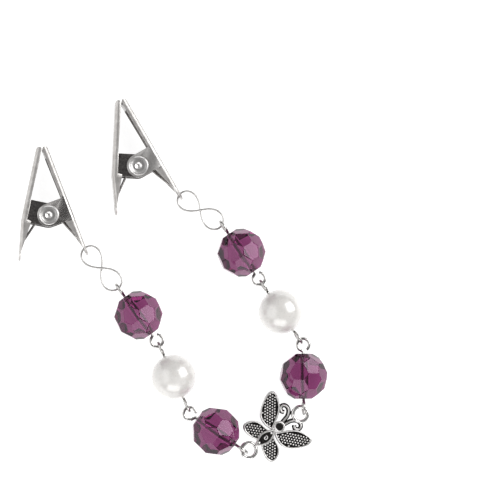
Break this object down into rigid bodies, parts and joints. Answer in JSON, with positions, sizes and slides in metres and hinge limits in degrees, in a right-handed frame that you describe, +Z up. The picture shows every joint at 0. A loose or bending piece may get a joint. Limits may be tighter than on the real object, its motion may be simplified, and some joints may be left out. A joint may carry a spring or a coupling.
{
  "type": "sweater clip",
  "caption": "Sweater clip: small spring clips joined by a short chain of faceted purple glass beads, pearls and a cast winged charm.",
  "frame": {"origin": "centre of the laid-out clip's bounding box, on the table it lies on", "axes": "+Z up from the table, +Y away from the charm towards the clips' jaws, +X to the right"},
  "size_m": [0.0656, 0.077, 0.0103],
  "materials": {
    "satin_nickel": "satin",
    "silver_wire": "polished",
    "antique_silver": "cast, darkened in the recesses",
    "purple_glass": "polished facets",
    "pearl": "pearl lustre"
  },
  "bodies": {
    "chain": {"chain_lever_a": "satin_nickel", "rivet_a": "satin_nickel", "spring_a": "satin_nickel", "link_a": "silver_wire", "bead_a": "purple_glass", "pearl_a": "pearl", "bead_b": "purple_glass", "charm": "antique_silver", "bead_c": "purple_glass", "pearl_b": "pearl", "bead_d": "purple_glass", "pin_bead_a": "silver_wire", "pin_pearl_a": "silver_wire", "pin_bead_b": "silver_wire", "pin_bead_c": "silver_wire", "pin_pearl_b": "silver_wire", "pin_bead_d": "silver_wire", "link_b": "silver_wire", "chain_lever_b": "satin_nickel", "rivet_b": "satin_nickel", "spring_b": "satin_nickel"},
    "free_lever_a": {"free_lever_a": "satin_nickel"},
    "free_lever_b": {"free_lever_b": "satin_nickel"}
  },
  "joints": [
    {"name": "clip_a_open", "type": "hinge", "parent": "chain", "child": "free_lever_a", "pos_m": [-0.02654, 0.01363, 0.0033], "axis": [0, 0, 1], "range_deg": [0, 45], "stiffness_Nm_per_rad": 0.02, "springref_deg": -40.11, "deforming": ["spring_a"]},
    {"name": "clip_b_open", "type": "hinge", "parent": "chain", "child": "free_lever_b", "pos_m": [-0.00765, 0.02424, 0.0033], "axis": [0, 0, 1], "range_deg": [0, 45], "stiffness_Nm_per_rad": 0.02, "springref_deg": -40.11, "deforming": ["spring_b"]}
  ]
}
